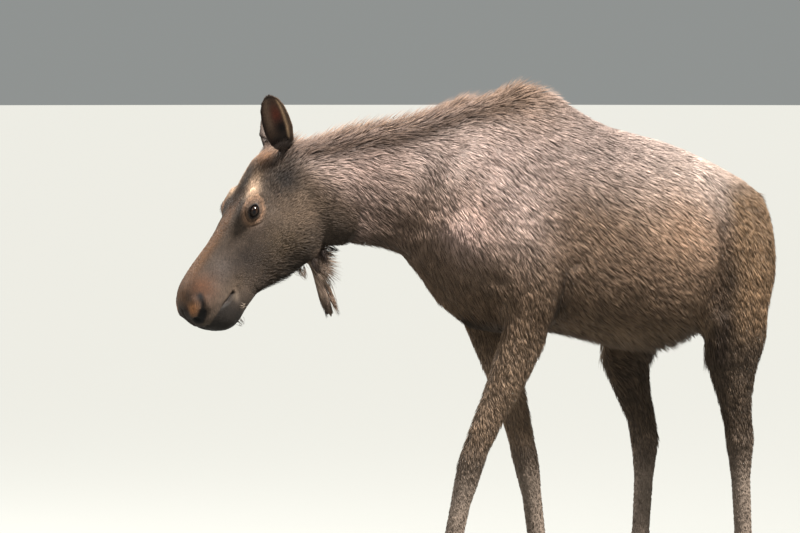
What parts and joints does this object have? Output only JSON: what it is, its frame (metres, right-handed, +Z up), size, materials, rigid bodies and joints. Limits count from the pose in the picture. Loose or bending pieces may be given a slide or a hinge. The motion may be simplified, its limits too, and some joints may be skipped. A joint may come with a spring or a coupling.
{
  "type": "moose",
  "caption": "Life-size moose without antlers, standing with its head lowered and its legs in stride, modelled as one still body with cloven hooves, a throat bell and a short tail.",
  "frame": {"origin": "middle of the bounding box in plan, on the level the hooves stand on", "axes": "+Z up; the animal faces -Y, and +X is its left side"},
  "size_m": [0.498, 2.1154, 1.757],
  "materials": {
    "hide": "short rough hair, grey-brown over darker brown legs",
    "hoof": "worn dark horn",
    "eye": "wet dark brown"
  },
  "bodies": {
    "root": {"head": "hide", "lower_jaw": "hide", "neck": "hide", "trunk": "hide", "tail": "hide", "bell": "hide", "ear_left": "hide", "ear_right": "hide", "foreleg_left_upper": "hide", "foreleg_left_cannon": "hide", "foreleg_left_pastern": "hide", "hindleg_left_upper": "hide", "hindleg_left_cannon": "hide", "hindleg_left_pastern": "hide", "foreleg_right_upper": "hide", "foreleg_right_cannon": "hide", "foreleg_right_pastern": "hide", "hindleg_right_upper": "hide", "hindleg_right_cannon": "hide", "hindleg_right_pastern": "hide", "hoof_foreleg_left_outer": "hoof", "dewclaw_foreleg_left_outer": "hoof", "hoof_foreleg_left_inner": "hoof", "dewclaw_foreleg_left_inner": "hoof", "hoof_hindleg_left_outer": "hoof", "dewclaw_hindleg_left_outer": "hoof", "hoof_hindleg_left_inner": "hoof", "dewclaw_hindleg_left_inner": "hoof", "hoof_foreleg_right_outer": "hoof", "dewclaw_foreleg_right_outer": "hoof", "hoof_foreleg_right_inner": "hoof", "dewclaw_foreleg_right_inner": "hoof", "hoof_hindleg_right_outer": "hoof", "dewclaw_hindleg_right_outer": "hoof", "hoof_hindleg_right_inner": "hoof", "dewclaw_hindleg_right_inner": "hoof", "eye_left": "eye", "eye_right": "eye"}
  },
  "joints": []
}
